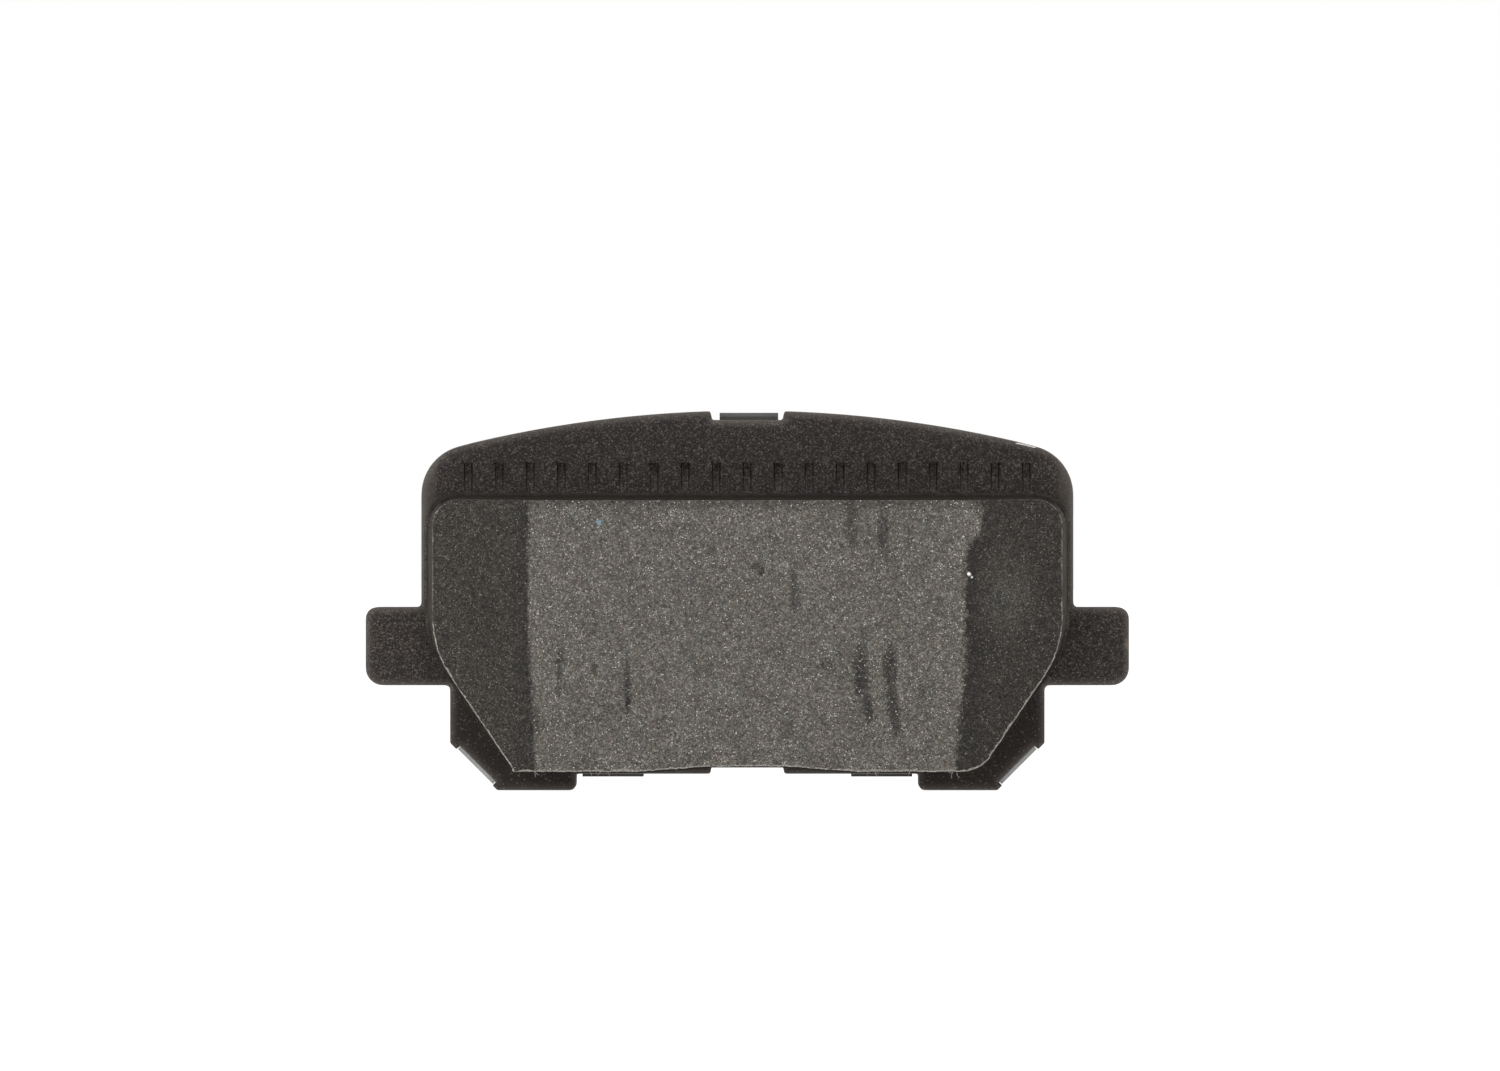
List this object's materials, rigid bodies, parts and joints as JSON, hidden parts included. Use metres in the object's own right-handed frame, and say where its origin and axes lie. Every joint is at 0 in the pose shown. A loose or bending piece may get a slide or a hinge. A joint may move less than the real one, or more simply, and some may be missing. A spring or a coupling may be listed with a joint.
{
  "type": "disc brake pad",
  "caption": "Rear disc brake pad: steel backing plate with two guide ears, moulded friction block with chamfered ends and a two-layer clip-on shim behind.",
  "frame": {"origin": "on the back face of the outer shim where the caliper presses, on the pad's centre line and at mid-height of the two ears", "axes": "+X along the two ears, +Y from the friction face towards the caliper, +Z from the feet to the crowned edge"},
  "size_m": [0.0974, 0.0166, 0.0484],
  "materials": {
    "black_powder_coat": "sandy matt black powder coat",
    "phenolic_adhesive": "cured adhesive film",
    "moulded_underlayer": "matt moulded compound",
    "friction_lining": "ground, speckled with metal fibres",
    "shim_rubber": "matt",
    "coated_shim_steel": "thin dark rubber coat on steel",
    "bare_shim_steel": "cold-rolled stainless sheet"
  },
  "bodies": {
    "root": {"backing_plate": "black_powder_coat", "bond_adhesive": "phenolic_adhesive", "underlayer": "moulded_underlayer", "friction_block": "friction_lining", "shim_adhesive": "phenolic_adhesive", "inner_shim_rubber_front": "shim_rubber", "inner_shim_core": "coated_shim_steel", "inner_shim_rubber_back": "shim_rubber", "outer_shim": "bare_shim_steel"}
  },
  "joints": []
}
